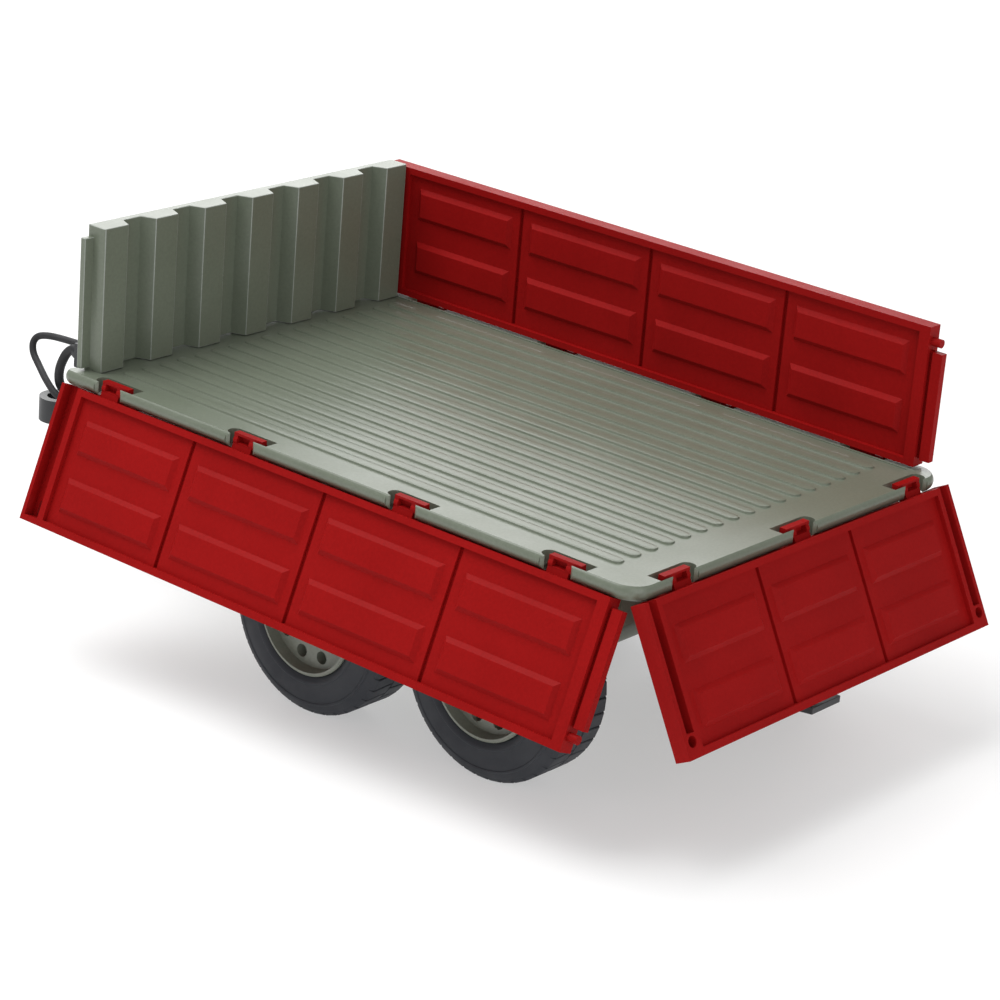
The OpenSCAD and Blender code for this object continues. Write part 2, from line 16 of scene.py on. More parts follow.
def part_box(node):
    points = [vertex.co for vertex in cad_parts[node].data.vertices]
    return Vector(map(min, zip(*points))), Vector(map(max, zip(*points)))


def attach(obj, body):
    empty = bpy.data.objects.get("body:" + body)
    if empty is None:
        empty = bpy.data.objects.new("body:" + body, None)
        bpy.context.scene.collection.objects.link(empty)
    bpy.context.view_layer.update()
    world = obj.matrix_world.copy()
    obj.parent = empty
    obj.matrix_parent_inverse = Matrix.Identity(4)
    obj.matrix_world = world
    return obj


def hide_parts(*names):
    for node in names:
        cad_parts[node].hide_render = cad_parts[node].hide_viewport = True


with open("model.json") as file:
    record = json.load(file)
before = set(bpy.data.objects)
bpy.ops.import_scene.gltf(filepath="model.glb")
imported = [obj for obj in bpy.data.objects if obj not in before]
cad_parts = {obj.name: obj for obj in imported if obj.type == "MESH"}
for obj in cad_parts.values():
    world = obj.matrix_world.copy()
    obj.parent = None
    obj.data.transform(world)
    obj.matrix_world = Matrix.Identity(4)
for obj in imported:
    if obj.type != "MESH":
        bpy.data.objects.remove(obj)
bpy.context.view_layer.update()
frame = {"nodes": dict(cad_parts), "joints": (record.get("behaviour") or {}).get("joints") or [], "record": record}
MM = 0.001

# %% [markdown]
# The bed stands nose-up on its bogie, so its parts share a tilted set of axes. The two side hinges give
# that set exactly: they run along the bed, and the point halfway between them lies on its centre line.

# %% The bed's own axes
hinges = {joint["name"]: joint for joint in frame["joints"]}
left_pole = Vector(hinges["left_panel_hinge"]["pos_m"])
right_pole = Vector(hinges["right_panel_hinge"]["pos_m"])
BED_X = Vector((1, 0, 0))
BED_Y = -Vector(hinges["left_panel_hinge"]["axis"]).normalized()
BED_Z = BED_X.cross(BED_Y)
HINGE_STATION = 130 * MM      # where along the bed the side hinges are stated
HINGE_DEPTH = 2.5 * MM        # hinge line under the rail top
bed_origin = (left_pole + right_pole) / 2 - BED_Y * HINGE_STATION + BED_Z * HINGE_DEPTH
BED = Matrix.Translation(bed_origin) @ Matrix((BED_X, BED_Y, BED_Z)).transposed().to_4x4()
pitch = math.degrees(BED_Y.angle((0, 1, 0)))
print("bed origin", [round(v, 4) for v in bed_origin], "pitch", round(pitch, 2))

# %% [markdown]
# A long lens a good metre away flattens the toy. The camera looks down on the rear left corner, and it is
# rolled a little, so it is placed in the bed's axes and then turned with them.

# %% The camera
def look_from(azimuth, elevation, roll):
    """Axes of a camera that looks back at the bed, as the columns right, up and backwards."""
    a, h, r = (math.radians(v) for v in (azimuth, elevation, roll))
    back = Vector((math.sin(a) * math.cos(h), -math.cos(a) * math.cos(h), math.sin(h)))
    right = Vector((math.cos(a), math.sin(a), 0))
    up = back.cross(right)
    turned_right = right * math.cos(r) + up * math.sin(r)
    turned_up = up * math.cos(r) - right * math.sin(r)
    return Matrix((turned_right, turned_up, back)).transposed().to_4x4()

CAMERA_AT = Vector((864.2, 839.0, 390.8)) * MM
AZIMUTH, ELEVATION, ROLL = 129.08, 20.70, 4.79     # degrees, in the bed's axes
lens = bpy.data.cameras.new("catalogue_lens")
lens.lens = 117
lens.sensor_width = 36
lens.clip_start = 0.05
lens.clip_end = 30
camera = bpy.data.objects.new("catalogue_camera", lens)
camera.matrix_world = BED @ Matrix.Translation(CAMERA_AT) @ look_from(AZIMUTH, ELEVATION, ROLL)
bpy.context.collection.objects.link(camera)
bpy.context.scene.camera = camera
print("camera at", [round(v, 3) for v in camera.matrix_world.translation])

# %% [markdown]
# A white sweep with one large soft key from above gives pale floors and darker uprights. A bright card far
# behind the toy is what the glossy bed mirrors, so the near part of the bed shines and the part close to the
# walls stays dark. The floor glows a little, which keeps the pool of shadow under the wheels light.

# %% Floor and studio light
bpy.context.scene.view_settings.view_transform = "Standard"

FLOOR_HALF = 12            # metres
FLOOR_WHITE = 0.58
FLOOR_GLOW = 0.42
ROOM_LIGHT = 0.35

def plain_floor(half):
    """A flat white plane on the ground."""
    mesh = bpy.data.meshes.new("studio_floor")
    corners = [(-half, -half, 0), (half, -half, 0), (half, half, 0), (-half, half, 0)]
    mesh.from_pydata(corners, [], [(0, 1, 2, 3)])
    floor = bpy.data.objects.new("studio_floor", mesh)
    bpy.context.collection.objects.link(floor)
    paint = bpy.data.materials.new("white_sweep")
    paint.use_nodes = True
    sweep = paint.node_tree.nodes["Principled BSDF"].inputs
    sweep["Base Color"].default_value = (FLOOR_WHITE, FLOOR_WHITE, FLOOR_WHITE, 1)
    sweep["Roughness"].default_value = 0.9
    sweep["Specular IOR Level"].default_value = 0
    sweep["Emission Color"].default_value = (1, 1, 1, 1)
    sweep["Emission Strength"].default_value = FLOOR_GLOW
    mesh.materials.append(paint)

def soft_box(name, place, aim, size, watts):
    """A square area light that faces a point."""
    light = bpy.data.lights.new(name, "AREA")
    light.shape = "SQUARE"
    light.size = size
    light.energy = watts
    lamp = bpy.data.objects.new(name, light)
    lamp.location = place
    lamp.rotation_euler = (Vector(aim) - Vector(place)).to_track_quat("-Z", "Y").to_euler()
    bpy.context.collection.objects.link(lamp)

plain_floor(FLOOR_HALF)
soft_box("overhead_key", place=(0.32, -0.5, 1.5), aim=(0, 0, 0.05), size=1.2, watts=24)
soft_box("back_card", place=(-1.75, -1.5, 0.95), aim=(0, 0, 0.06), size=2.0, watts=34)
soft_box("rear_fill", place=(0.7, 1.7, 0.6), aim=(0, 0, 0.05), size=1.4, watts=10)
room = bpy.data.worlds.new("white_room")
room.use_nodes = True
room.node_tree.nodes["Background"].inputs["Color"].default_value = (1, 1, 1, 1)
room.node_tree.nodes["Background"].inputs["Strength"].default_value = ROOM_LIGHT
bpy.context.scene.world = room

# %% [markdown]
# ## Finishes
# Moulded plastic looks real through small things: a slow drift of tone where the melt cooled, a fine skin in
# the gloss, and faint rub marks. One recipe makes all of them from noise on Object coordinates, and
# each finish only sets its colours, gloss and grain.

# %% A node tree helper
def add(tree, kind, **settings):
    """A new shader node with its properties set."""
    node = tree.nodes.new(kind)
    for key, value in settings.items():
        setattr(node, key, value)
    return node

def noise(tree, source, scale, detail=3.0, rough=0.55):
    """Noise of a given scale, read from a vector socket."""
    node = add(tree, "ShaderNodeTexNoise")
    node.inputs["Scale"].default_value = scale
    node.inputs["Detail"].default_value = detail
    node.inputs["Roughness"].default_value = rough
    tree.links.new(source, node.inputs["Vector"])
    return node.outputs["Fac"]

def ramp(tree, source, low, high, start=0.3, end=0.7):
    """Maps 0..1 noise between two values."""
    node = add(tree, "ShaderNodeMapRange")
    for socket, value in zip(("From Min", "From Max", "To Min", "To Max"), (start, end, low, high)):
        node.inputs[socket].default_value = value
    tree.links.new(source, node.inputs["Value"])
    return node.outputs["Result"]

# %% Moulded plastic
DRIFT, SMEAR, SPECKLE, SKIN = 28, 45, 900, 2600     # noise scales, from broad to fine
SCUFF_STRETCH = (240, 30, 140)                      # rub marks run along the trailer
SCUFF_GAIN = 0.12                                   # roughness a full rub mark adds

def moulded_plastic(name, colour, shade, gloss=(0.3, 0.42), grain=0.00002, rub=0.5, sheen=0.5):
    """Injection-moulded plastic: colour drifts to shade, roughness runs between the two gloss values."""
    paint = bpy.data.materials.new(name)
    paint.use_nodes = True
    tree = paint.node_tree
    body = tree.nodes["Principled BSDF"]
    place = add(tree, "ShaderNodeTexCoord").outputs["Object"]
    # slow drift of tone where the melt cooled
    mix = add(tree, "ShaderNodeMix", data_type="RGBA")
    mix.inputs["A"].default_value = (*colour, 1)
    mix.inputs["B"].default_value = (*shade, 1)
    tree.links.new(ramp(tree, noise(tree, place, DRIFT, 4), 0, 1, 0.35, 0.75), mix.inputs["Factor"])
    # fine speckle in the pigment
    speck = add(tree, "ShaderNodeMix", data_type="RGBA", blend_type="MULTIPLY")
    speck.inputs["Factor"].default_value = 1
    tree.links.new(mix.outputs["Result"], speck.inputs["A"])
    tree.links.new(ramp(tree, noise(tree, place, SPECKLE, 2), 0.93, 1.05), speck.inputs["B"])
    tree.links.new(speck.outputs["Result"], body.inputs["Base Color"])
    # gloss: broad smears with short rub marks over them
    marks = add(tree, "ShaderNodeMapping")
    marks.inputs["Scale"].default_value = SCUFF_STRETCH
    tree.links.new(place, marks.inputs["Vector"])
    smear = ramp(tree, noise(tree, place, SMEAR, 5), *gloss)
    rubs = noise(tree, marks.outputs["Vector"], 1, 6, 0.7)
    scuff = ramp(tree, rubs, 0, SCUFF_GAIN * rub, 0.55, 0.75)
    total = add(tree, "ShaderNodeMath", operation="ADD")
    tree.links.new(smear, total.inputs[0])
    tree.links.new(scuff, total.inputs[1])
    tree.links.new(total.outputs["Value"], body.inputs["Roughness"])
    # skin of the mould
    bump = add(tree, "ShaderNodeBump")
    bump.inputs["Strength"].default_value = 0.25
    bump.inputs["Distance"].default_value = grain
    tree.links.new(noise(tree, place, SKIN, 2), bump.inputs["Height"])
    tree.links.new(bump.outputs["Normal"], body.inputs["Normal"])
    body.inputs["IOR"].default_value = 1.5
    body.inputs["Specular IOR Level"].default_value = sheen
    return paint

# %% Five plastic finishes, and two lighter paints that are painted edge highlights
RED = moulded_plastic("red_moulding", colour=(0.31, 0.007, 0.007), shade=(0.27, 0.006, 0.006),
                      gloss=(0.4, 0.52), sheen=0.04)
BED_GREY = moulded_plastic("bed_moulding", colour=(0.166, 0.190, 0.144), shade=(0.150, 0.173, 0.128),
                           gloss=(0.28, 0.35), rub=0.15)
FRAME_GREY = moulded_plastic("frame_moulding", colour=(0.17, 0.185, 0.15), shade=(0.14, 0.155, 0.125),
                             gloss=(0.4, 0.55))
RIM_GREY = moulded_plastic("rim_moulding", colour=(0.23, 0.245, 0.205), shade=(0.20, 0.215, 0.175),
                           gloss=(0.34, 0.5))
BLACK = moulded_plastic("black_moulding", colour=(0.022, 0.023, 0.026), shade=(0.015, 0.016, 0.018),
                        gloss=(0.38, 0.55))
# The last two are painted highlights: lighter copies of the bed grey and the red for the rounded edge strips,
# standing in for light caught by the edges.
BED_EDGE_HIGHLIGHT = moulded_plastic("bed_edge_painted_highlight", colour=(0.31, 0.335, 0.30), shade=(0.27, 0.295, 0.26),
                           gloss=(0.25, 0.33))
RED_EDGE_HIGHLIGHT = moulded_plastic("red_edge_painted_highlight", colour=(0.52, 0.018, 0.018), shade=(0.44, 0.014, 0.014),
                           gloss=(0.3, 0.42), sheen=0.2)
PLASTICS_AND_HIGHLIGHTS = (RED, BED_GREY, FRAME_GREY, RIM_GREY, BLACK, BED_EDGE_HIGHLIGHT, RED_EDGE_HIGHLIGHT)
print("plastics:", [m.name for m in PLASTICS_AND_HIGHLIGHTS])

# %% [markdown]
# Tyre rubber is matt and slightly blue, with a coarser skin than plastic and a bloom of dust. Turned
# steel has fine rings round its own axis. The axles and most pins lie along X, so noise squeezed along X
# makes them. The upright screws and pins get the same marks, which do not ring them but are too fine to show.

# %% Rubber and steel
def tyre_rubber(name, colour, bloom):
    """Matt rubber with a cloudy bloom and a fine pebbled skin."""
    paint = bpy.data.materials.new(name)
    paint.use_nodes = True
    tree = paint.node_tree
    body = tree.nodes["Principled BSDF"]
    place = add(tree, "ShaderNodeTexCoord").outputs["Object"]
    mix = add(tree, "ShaderNodeMix", data_type="RGBA")
    mix.inputs["A"].default_value = (*colour, 1)
    mix.inputs["B"].default_value = (*bloom, 1)
    tree.links.new(ramp(tree, noise(tree, place, 60, 6), 0, 1, 0.35, 0.8), mix.inputs["Factor"])
    tree.links.new(mix.outputs["Result"], body.inputs["Base Color"])
    tree.links.new(ramp(tree, noise(tree, place, 120, 4), 0.55, 0.8), body.inputs["Roughness"])
    bump = add(tree, "ShaderNodeBump")
    bump.inputs["Strength"].default_value = 0.4
    bump.inputs["Distance"].default_value = 0.00005
    tree.links.new(noise(tree, place, 1500, 3), bump.inputs["Height"])
    tree.links.new(bump.outputs["Normal"], body.inputs["Normal"])
    return paint

def turned_steel(name, colour):
    """Plain steel with fine turning marks."""
    paint = bpy.data.materials.new(name)
    paint.use_nodes = True
    tree = paint.node_tree
    body = tree.nodes["Principled BSDF"]
    body.inputs["Metallic"].default_value = 1
    place = add(tree, "ShaderNodeTexCoord").outputs["Object"]
    rings = add(tree, "ShaderNodeMapping")
    rings.inputs["Scale"].default_value = (4000, 60, 60)
    tree.links.new(place, rings.inputs["Vector"])
    lines = noise(tree, rings.outputs["Vector"], 1, 2)
    mix = add(tree, "ShaderNodeMix", data_type="RGBA")
    mix.inputs["A"].default_value = (*colour, 1)
    mix.inputs["B"].default_value = tuple(0.8 * c for c in colour) + (1,)
    tree.links.new(ramp(tree, noise(tree, place, 200, 4), 0, 1), mix.inputs["Factor"])
    tree.links.new(mix.outputs["Result"], body.inputs["Base Color"])
    tree.links.new(ramp(tree, lines, 0.22, 0.42), body.inputs["Roughness"])
    return paint

TYRE = tyre_rubber("tyre_rubber", (0.022, 0.025, 0.032), (0.034, 0.037, 0.044))
HOSE = tyre_rubber("hose_rubber", (0.016, 0.016, 0.018), (0.026, 0.026, 0.028))
STEEL = turned_steel("turned_steel", (0.55, 0.55, 0.56))
print("rubber and steel ready")

# %% [markdown]
# ## Moulded edges
# The frame's parts have sharp edges, which never catch light. Each one is copied, its loose triangles are
# merged back into flat faces, and a small bevel rounds the corners. The copy then stands for the part, so all
# hinges, slots and holes stay where the frame has them. Flat faces stay flat-shaded, because smooth shading
# across a large one draws dark gradients; only curved surfaces and the bevel strips are smooth. On the panels
# and the wall the strips also get a lighter finish, which imitates light caught by the edge.

# %% Round the edges of a frame part
BODY_OF = {node: body for body, nodes in frame["record"]["behaviour"]["bodies"].items() for node in nodes}
MERGE_GAP = 2e-6
FLAT_ANGLE = math.radians(1.0)
CORNER_ANGLE = math.radians(28)

def merged_copy(node, name):
    """A clean, welded copy of a frame part, with its coplanar triangles joined."""
    mesh = frame["nodes"][node].data.copy()
    mesh.name = name
    mesh.materials.clear()
    work = bmesh.new()
    work.from_mesh(mesh)
    bmesh.ops.remove_doubles(work, verts=work.verts, dist=MERGE_GAP)
    bmesh.ops.dissolve_limit(work, angle_limit=FLAT_ANGLE, verts=work.verts, edges=work.edges)
    work.to_mesh(mesh)
    work.free()
    piece = bpy.data.objects.new(name, mesh)
    bpy.context.collection.objects.link(piece)
    return piece

def settle(piece, shade=True):
    """Turns a piece's modifiers into plain mesh; with shade, it is smooth except at its remaining corners."""
    graph = bpy.context.evaluated_depsgraph_get()
    mesh = bpy.data.meshes.new_from_object(piece.evaluated_get(graph), depsgraph=graph)
    piece.modifiers.clear()
    piece.data = mesh
    if shade:
        mesh.shade_smooth()
        mesh.set_sharp_from_angle(angle=CORNER_ANGLE)
    return piece

def mark_corners(piece, radius, outside_only):
    """Gives the edges to round a full bevel weight, and shades only curved surfaces smooth."""
    work = bmesh.new()
    work.from_mesh(piece.data)
    weight = work.edges.layers.float.new("bevel_weight_edge")
    for face in work.faces:
        face.smooth = False
    for edge in work.edges:
        bend = edge.calc_face_angle(0) if len(edge.link_faces) == 2 else math.pi
        if bend > CORNER_ANGLE:
            edge.smooth = False
            if (len(edge.link_faces) == 2 and (edge.is_convex or not outside_only)
                    and edge.calc_length() > radius):
                edge[weight] = 1
        elif bend > FLAT_ANGLE:
            for face in edge.link_faces:
                face.smooth = True
    work.to_mesh(piece.data)
    work.free()

STRIP = 1          # material index of the rounded strips

def moulded(node, paint, radius, rim=None):
    """A rounded, painted stand-in for one frame part.

    With a rim paint, only the outside corners are rounded, and their strips take that paint: a lighter painted
    highlight.
    """
    piece = merged_copy(node, node + "_moulding")
    mark_corners(piece, radius, rim is not None)
    round_off = piece.modifiers.new("round", "BEVEL")
    round_off.width = radius
    round_off.segments = 2
    round_off.limit_method = "WEIGHT"
    round_off.use_clamp_overlap = True
    round_off.material = STRIP
    # the second slot holds the rim paint, a painted edge highlight, when there is one
    for finish in (paint, rim or paint):
        piece.data.materials.append(finish)
    settle(piece, shade=False)
    for face in piece.data.polygons:
        if face.material_index == STRIP:
            face.use_smooth = True
    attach(piece, BODY_OF[node])
    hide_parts(node)
    return piece

# %% Round and paint the plain parts
PARTS = [      # part, finish and edge radius in millimetres
    ("platform", BED_GREY, 0.30), ("front_wall", BED_GREY, 0.9), ("left_panel", RED, 0.38),
    ("right_panel", RED, 0.38), ("tailgate", RED, 0.38), ("chassis_frame", FRAME_GREY, 0.4),
    ("drawbar", BLACK, 0.5), ("hitch_eye", BLACK, 0.8), ("hose_bracket", BLACK, 0.4),
    ("rear_coupling", BLACK, 0.6), ("coupling_pin", STEEL, 0.3), ("bogie_pin", STEEL, 0.4),
    ("leg_pin", STEEL, 0.3), ("support_leg", BLACK, 0.4), ("leg_foot", BLACK, 0.4),
    ("bogie_rocker", FRAME_GREY, 0.6), ("front_axle", STEEL, 0.3), ("rear_axle", STEEL, 0.3),
]
# lighter edge paints: painted highlights on the rounded strips of the panels and the wall
EDGE_HIGHLIGHTS = {"front_wall": BED_EDGE_HIGHLIGHT, "left_panel": RED_EDGE_HIGHLIGHT, "right_panel": RED_EDGE_HIGHLIGHT, "tailgate": RED_EDGE_HIGHLIGHT}
for node, paint, radius in PARTS:
    piece = moulded(node, paint, radius * MM, EDGE_HIGHLIGHTS.get(node))
    print(node, len(piece.data.polygons), "faces")

# %% [markdown]
# ## Things that repeat
# Ribs, tread blocks and screws are one small shape set out in a row or round a ring. Copying each by
# hand would work, but a Geometry Nodes tree keeps the count and the spacing as named inputs, so the
# whole row is changed in one place. Two small trees, a row and a ring, serve every piece here.

# %% A Geometry Nodes tree that sets shapes out
def layout_tree(name, inputs, place_points):
    """A tree that copies the object's own mesh onto the points that place_points makes."""
    tree = bpy.data.node_groups.new(name, "GeometryNodeTree")
    tree.interface.new_socket("Shape", in_out="INPUT", socket_type="NodeSocketGeometry")
    for label, kind in inputs:
        tree.interface.new_socket(label, in_out="INPUT", socket_type=kind)
    tree.interface.new_socket("Finish", in_out="INPUT", socket_type="NodeSocketMaterial")
    tree.interface.new_socket("Shape", in_out="OUTPUT", socket_type="NodeSocketGeometry")
    source = tree.nodes.new("NodeGroupInput")
    points, turn = place_points(tree, source)
    copies = tree.nodes.new("GeometryNodeInstanceOnPoints")
    tree.links.new(points, copies.inputs["Points"])
    tree.links.new(source.outputs["Shape"], copies.inputs["Instance"])
    if turn:
        tree.links.new(turn, copies.inputs["Rotation"])
    real = tree.nodes.new("GeometryNodeRealizeInstances")
    finish = tree.nodes.new("GeometryNodeSetMaterial")
    end = tree.nodes.new("NodeGroupOutput")
    tree.links.new(copies.outputs["Instances"], real.inputs["Geometry"])
    tree.links.new(real.outputs["Geometry"], finish.inputs["Geometry"])
    tree.links.new(source.outputs["Finish"], finish.inputs["Material"])
    tree.links.new(finish.outputs["Geometry"], end.inputs["Shape"])
    return tree

def row_points(tree, source):
    """Points at equal steps along a line."""
    line = tree.nodes.new("GeometryNodeMeshLine")
    line.mode = "OFFSET"
    tree.links.new(source.outputs["Count"], line.inputs["Count"])
    tree.links.new(source.outputs["First"], line.inputs["Start Location"])
    tree.links.new(source.outputs["Step"], line.inputs["Offset"])
    return line.outputs["Mesh"], None

def ring_points(tree, source):
    """Points on one spot, each turned a further equal part of a circle about X."""
    line = tree.nodes.new("GeometryNodeMeshLine")
    line.mode = "OFFSET"
    line.inputs["Offset"].default_value = (0, 0, 0)
    tree.links.new(source.outputs["Count"], line.inputs["Count"])
    number = tree.nodes.new("GeometryNodeInputIndex")
    angle = tree.nodes.new("ShaderNodeMath")
    angle.operation = "MULTIPLY_ADD"
    tree.links.new(number.outputs["Index"], angle.inputs[0])
    tree.links.new(source.outputs["Turn"], angle.inputs[1])
    tree.links.new(source.outputs["Start"], angle.inputs[2])
    spin = tree.nodes.new("ShaderNodeCombineXYZ")
    tree.links.new(angle.outputs["Value"], spin.inputs["X"])
    return line.outputs["Mesh"], spin.outputs["Vector"]

ROW_INPUTS = [("Count", "NodeSocketInt"), ("First", "NodeSocketVector"), ("Step", "NodeSocketVector")]
RING_INPUTS = [("Count", "NodeSocketInt"), ("Turn", "NodeSocketFloat"), ("Start", "NodeSocketFloat")]
ROW = layout_tree("set_out_in_a_row", ROW_INPUTS, row_points)
RING = layout_tree("set_out_round_a_ring", RING_INPUTS, ring_points)
print("trees:", ROW.name, RING.name)

# %% Use a tree on a shape
def set_out(shape, tree, **values):
    """Runs a tree on a shape and leaves the copies as the shape's own plain mesh."""
    maker = shape.modifiers.new("set_out", "NODES")
    maker.node_group = tree
    for item in tree.interface.items_tree:
        if item.item_type == "SOCKET" and item.in_out == "INPUT" and item.name in values:
            maker[item.identifier] = values[item.name]
    graph = bpy.context.evaluated_depsgraph_get()
    mesh = bpy.data.meshes.new_from_object(shape.evaluated_get(graph), depsgraph=graph)
    shape.modifiers.clear()
    shape.data = mesh
    return shape

def shape_from(work, name, radius=0, segments=2):
    """A new object from a bmesh, with its outside facing out and its corners rounded."""
    bmesh.ops.recalc_face_normals(work, faces=work.faces)
    mesh = bpy.data.meshes.new(name)
    work.to_mesh(mesh)
    work.free()
    shape = bpy.data.objects.new(name, mesh)
    bpy.context.collection.objects.link(shape)
    if radius:
        round_off = shape.modifiers.new("round", "BEVEL")
        round_off.width = radius
        round_off.segments = segments
        round_off.limit_method = "ANGLE"
        round_off.angle_limit = CORNER_ANGLE
    return settle(shape)

def join_to(shape, body, node=None):
    """Puts a finished shape on its body and hides the frame part it stands for."""
    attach(shape, body)
    if node:
        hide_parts(node)

# %% [markdown]
# ### Floor ribs
# The bed is stiffened by low ribs with rounded ends. The light only shows them by the shadow on one flank,
# so the flank's slope and the soft shoulder matter more than the height. One rib is a long
# slot shape in three levels; the row tree then sets out the whole floor.

# %% One floor rib, then the row
RIB_COUNT = 17
RIB_PITCH = 9 * MM
RIB_START, RIB_END = 16 * MM, 246.6 * MM
RIB_LEVELS = [(2.75, -0.46), (2.45, 0.06), (2.05, 0.22), (1.2, 0.27)]   # half width and height, mm
END_STEPS = 12

def long_slot(half_width, level):
    """Outline of a rounded bar that runs along Y."""
    ring = []
    for centre, start in ((RIB_END, 0.0), (RIB_START, math.pi)):
        for step in range(END_STEPS + 1):
            angle = start + math.pi * step / END_STEPS
            ring.append((half_width * math.cos(angle), centre + half_width * math.sin(angle), level))
    return ring

def lofted(rings, closed_ends=True):
    """A closed skin over rings of points that all have the same count."""
    work = bmesh.new()
    loops = [[work.verts.new(point) for point in ring] for ring in rings]
    for low, high in zip(loops, loops[1:]):
        for i in range(len(low)):
            j = (i + 1) % len(low)
            work.faces.new((low[i], low[j], high[j], high[i]))
    if closed_ends:
        work.faces.new(list(reversed(loops[0])))
        work.faces.new(loops[-1])
    return work

rib = shape_from(lofted([long_slot(w * MM, z * MM) for w, z in RIB_LEVELS]), "floor_ribs")
first_rib = (-(RIB_COUNT - 1) / 2 * RIB_PITCH, 0, 0)
set_out(rib, ROW, Count=RIB_COUNT, First=first_rib, Step=(RIB_PITCH, 0, 0), Finish=BED_GREY)
rib.data.transform(BED)
join_to(rib, "trailer")
print("floor ribs:", RIB_COUNT, "with", len(rib.data.polygons), "faces")

# %% [markdown]
# ### Pocket walls
# These are a guess: the real trailer hides what is under its hook slots, and nothing bright shows through.
# Plain tabs on the deck's outer underside rib, one behind each side hook, close the view through the slots.
# The frame does not have them.

# %% Pocket walls behind the side hooks
HOOK_STATIONS = (17, 85, 162, 230.5)     # millimetres along the bed
TAB_LENGTH = 24
TAB_IN, TAB_OUT = 78.1, 79.9
TAB_LOW, TAB_HIGH = -9.6, -5.7

work = bmesh.new()
for station in HOOK_STATIONS:
    for side in (-1, 1):
        middle = Vector((side * (TAB_IN + TAB_OUT) / 2, station, (TAB_LOW + TAB_HIGH) / 2))
        size = Vector((TAB_OUT - TAB_IN, TAB_LENGTH, TAB_HIGH - TAB_LOW))
        place = Matrix.Translation(middle * MM) @ Matrix.Diagonal(size * MM).to_4x4()
        bmesh.ops.create_cube(work, size=1, matrix=place)
pockets = shape_from(work, "hook_pocket_walls", 0.25 * MM)
pockets.data.materials.append(BED_GREY)
pockets.data.transform(BED)
join_to(pockets, "trailer")
print("pocket walls:", 2 * len(HOOK_STATIONS))

# %% [markdown]
# ### Screws
# Six screws hold the deck to the frame and two bolts hold the drawbar. What is under the deck is hidden, so
# these are a guess too. A screw is one turned profile: a round drive recess, a domed head and a shank. Its
# head faces the ground, so a cross-shaped drive would not show. The bolts keep the frame's own shape.

# %% Screws under the deck and bolts in the drawbar
def turned(profile, steps, name):
    """Turns a profile of (radius, height) points about Z."""
    angles = [2 * math.pi * k / steps for k in range(steps)]
    rings = [[(r * math.cos(a), r * math.sin(a), z) for a in angles] for r, z in profile]
    return shape_from(lofted(rings), name)

SCREW_ROWS = (30, 130, 230)
SCREW_ACROSS = 13
SCREW_STEPS = 24
HEAD_BASE, SHANK_TOP = -24, -1.1
HEAD_TOP = HEAD_BASE + 2.0
screw_profile = [      # radius and height, in millimetres
    (0.5, HEAD_BASE + 0.7), (0.55, HEAD_BASE + 0.1), (1.3, HEAD_BASE), (2.0, HEAD_BASE + 0.35),
    (2.3, HEAD_BASE + 1.0), (2.3, HEAD_TOP), (1.25, HEAD_TOP), (1.25, SHANK_TOP),
]
screw = turned([(r * MM, z * MM) for r, z in screw_profile], SCREW_STEPS, "deck_screw_set")
screw.data.transform(Matrix.Translation((0, SCREW_ROWS[0] * MM, 0)))
set_out(screw, ROW, Count=2, First=(-SCREW_ACROSS * MM, 0, 0), Step=(2 * SCREW_ACROSS * MM, 0, 0),
        Finish=STEEL)
row_step = (SCREW_ROWS[1] - SCREW_ROWS[0]) * MM
set_out(screw, ROW, Count=len(SCREW_ROWS), First=(0, 0, 0), Step=(0, row_step, 0), Finish=STEEL)
screw.data.transform(BED)
join_to(screw, "trailer", "deck_screws")
moulded("drawbar_bolts", STEEL, 0.3 * MM)
print("screws:", len(screw.data.polygons), "faces")

# %% [markdown]
# ### Hoses
# Two air hoses loop from the towing eye to a post. A hose has no corners, so its tube is
# welded and then smoothed by subdivision, which also rounds the ends where they enter the fittings.

# %% Two hoses
for node in ("brake_hose", "supply_hose"):
    hose = merged_copy(node, node + "_tube")
    smooth = hose.modifiers.new("smooth", "SUBSURF")
    smooth.levels = smooth.render_levels = 2
    settle(hose)
    hose.data.materials.append(HOSE)
    join_to(hose, "trailer", node)
    print(node, len(hose.data.polygons), "faces")

# %% [markdown]
# ## Wheels
# The tyre is a turned rubber carcass: bead, bulging sidewall with two raised rings, shoulder and crown.
# The tread is a ring of slanted blocks, set out by the ring tree in two rows that are half a step apart.

# %% The tyre's carcass
TYRE_LOW, TYRE_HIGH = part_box("front_left_tyre")
TYRE_R = (TYRE_HIGH[2] - TYRE_LOW[2]) / 2
TYRE_HALF = (TYRE_HIGH[0] - TYRE_LOW[0]) / 2
BEAD_R = 21.76 * MM
CROWN_R = TYRE_R - 0.6 * MM
TYRE_STEPS = 120
half_profile = [       # radius, and distance from the middle as a part of TYRE_HALF
    (BEAD_R, 0.88), (BEAD_R + 0.8 * MM, 0.95), (23.6 * MM, 0.985), (24.0 * MM, 1.0),
    (24.6 * MM, 1.0), (25.0 * MM, 0.975), (27.5 * MM, 0.985), (29.8 * MM, 0.975),
    (31.6 * MM, 0.94), (31.9 * MM, 0.955), (32.5 * MM, 0.945), (32.8 * MM, 0.905),
    (34.2 * MM, 0.855), (35.3 * MM, 0.80), (CROWN_R, 0.70), (CROWN_R + 0.1 * MM, 0.3),
]
carcass_profile = half_profile + [(r, -x) for r, x in reversed(half_profile)]

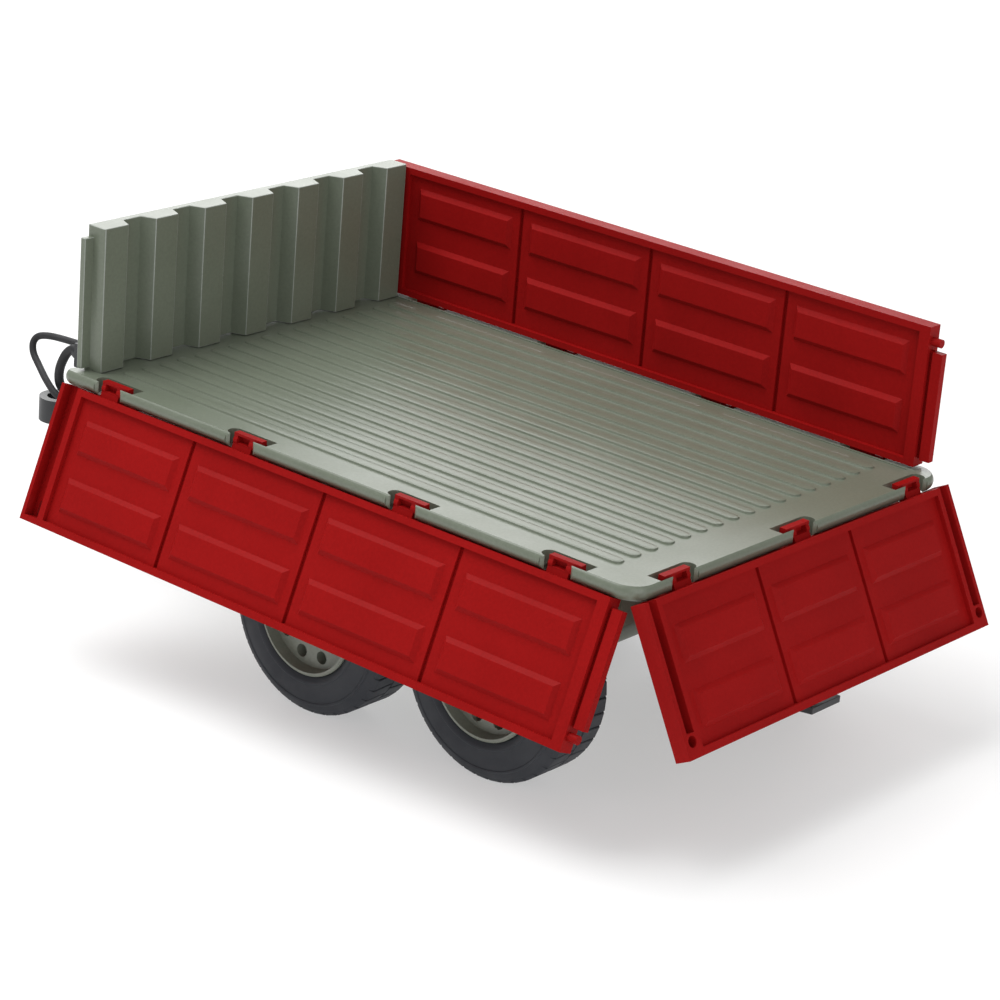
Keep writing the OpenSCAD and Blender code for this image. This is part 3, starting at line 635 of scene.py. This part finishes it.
def carcass(name):
    """The turned tyre, about X and centred on the origin."""
    angles = [2 * math.pi * k / TYRE_STEPS for k in range(TYRE_STEPS)]
    rings = [[(x * TYRE_HALF, r * math.cos(a), r * math.sin(a)) for a in angles] for r, x in carcass_profile]
    work = lofted(rings + [rings[0]], closed_ends=False)
    bmesh.ops.remove_doubles(work, verts=work.verts, dist=MERGE_GAP)
    return shape_from(work, name)

# %% The tread
BLOCK_COUNT = 40
BLOCK_FOOT = CROWN_R - 0.6 * MM
BLOCK_TOP = TYRE_R - 0.02 * MM
BLOCK_HALF = 2.55 * MM
BLOCK_SLANT = 0.9 * MM
CENTRE_GAP = 0.3 * MM
CROWN_EDGE = 0.70 * TYRE_HALF
SHOULDER = 0.80 * TYRE_HALF
SHOULDER_DROP = 1.5 * MM

def tread_block(side):
    """One slanted block on one half of the tread; side is 1 or -1."""
    work = bmesh.new()
    back, front = -BLOCK_HALF + BLOCK_SLANT, BLOCK_HALF + BLOCK_SLANT
    outline = [(CENTRE_GAP, -BLOCK_HALF, 0), (CROWN_EDGE, back, 0), (SHOULDER, back, SHOULDER_DROP),
               (SHOULDER, front, SHOULDER_DROP), (CROWN_EDGE, front, 0), (CENTRE_GAP, BLOCK_HALF, 0)]
    low = [work.verts.new((side * x, y, BLOCK_FOOT - drop)) for x, y, drop in outline]
    high = [work.verts.new((side * x, y, math.sqrt(BLOCK_TOP ** 2 - y ** 2) - drop))
            for x, y, drop in outline]
    for i in range(len(outline)):
        j = (i + 1) % len(outline)
        work.faces.new((low[i], low[j], high[j], high[i]))
    for ring in (low, high):
        work.faces.new((ring[0], ring[1], ring[4], ring[5]))
        work.faces.new((ring[1], ring[2], ring[3], ring[4]))
    return work

def tread(name):
    """All blocks of one tyre, about X."""
    step = 2 * math.pi / BLOCK_COUNT
    rows = []
    for side, start in ((1, 0.0), (-1, step / 2)):
        block = shape_from(tread_block(side), name, 0.25 * MM, 1)
        rows.append(set_out(block, RING, Count=BLOCK_COUNT, Turn=step, Start=start, Finish=TYRE))
    return rows

# %% [markdown]
# The rim, the cap and the tyre of each wheel are separate mouldings. The tyre's carcass and its blocks are
# joined to one rubber piece. A tyre is the same on both faces, so the right wheels use it as it is.

# %% Put the wheels on their axles
def joined(shapes, name):
    """Several shapes as one mesh."""
    work = bmesh.new()
    for shape in shapes:
        work.from_mesh(shape.data)
    mesh = bpy.data.meshes.new(name)
    work.to_mesh(mesh)
    work.free()
    for shape in shapes:
        bpy.data.objects.remove(shape)
    whole = bpy.data.objects.new(name, mesh)
    bpy.context.collection.objects.link(whole)
    return settle(whole)

for axle in ("front", "rear"):
    body = axle + "_wheels"
    for side in ("left", "right"):
        node = f"{axle}_{side}_tyre"
        low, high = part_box(node)
        tyre = joined([carcass(node)] + tread(node + "_tread"), node + "_rubber")
        tyre.data.transform(Matrix.Translation((Vector(low) + Vector(high)) / 2))
        tyre.data.materials.clear()
        tyre.data.materials.append(TYRE)
        join_to(tyre, body, node)
        moulded(f"{axle}_{side}_rim", RIM_GREY, 0.3 * MM)
        moulded(f"{axle}_{side}_cap", BLACK, 0.4 * MM)
        print(node, len(tyre.data.polygons), "faces")
